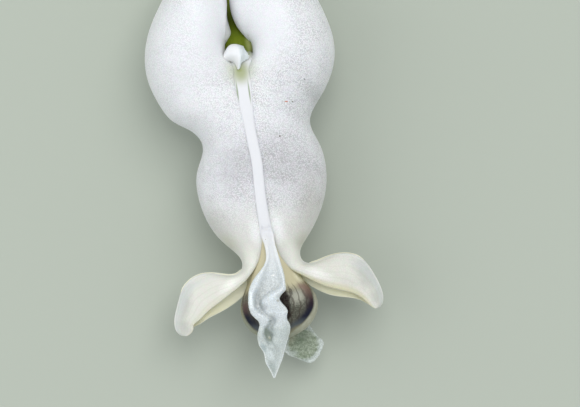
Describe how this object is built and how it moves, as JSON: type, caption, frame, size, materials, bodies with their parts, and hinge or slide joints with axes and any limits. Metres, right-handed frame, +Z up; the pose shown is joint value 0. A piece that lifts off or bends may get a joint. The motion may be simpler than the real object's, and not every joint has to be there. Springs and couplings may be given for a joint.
{
  "type": "squirrel corn flower",
  "caption": "Single white squirrel corn blossom: twin rounded spurs, pinched waist, turned-out petal tips, ruffled crest and a cut stalk.",
  "frame": {"origin": "on the ground, under the middle of the flower's bounding box", "axes": "+Z up out of the flower's front face as it lies on its back, +Y towards the spurs and the cut end of the stalk, -Y towards the open mouth, +X towards the right-hand petal"},
  "size_m": [0.008, 0.0188, 0.0045],
  "materials": {
    "outer_petal": "soft satin white petal, finely granular, ivory towards the tips",
    "inner_petal": "translucent bluish-white petal with a dark purple blotch on each side of the hood",
    "sepal": "thin papery white scale",
    "stalk": "olive-green satin stem",
    "pistil": "pale green, moist",
    "stamen": "cream filaments with yellow anthers"
  },
  "bodies": {
    "root": {"outer_petal_right": "outer_petal", "outer_petal_left": "outer_petal", "inner_petal_front": "inner_petal", "inner_petal_back": "inner_petal", "sepal_front": "sepal", "sepal_back": "sepal", "pedicel_and_receptacle": "stalk", "pistil": "pistil", "stamen_bundle_right": "stamen", "stamen_bundle_left": "stamen"}
  },
  "joints": []
}
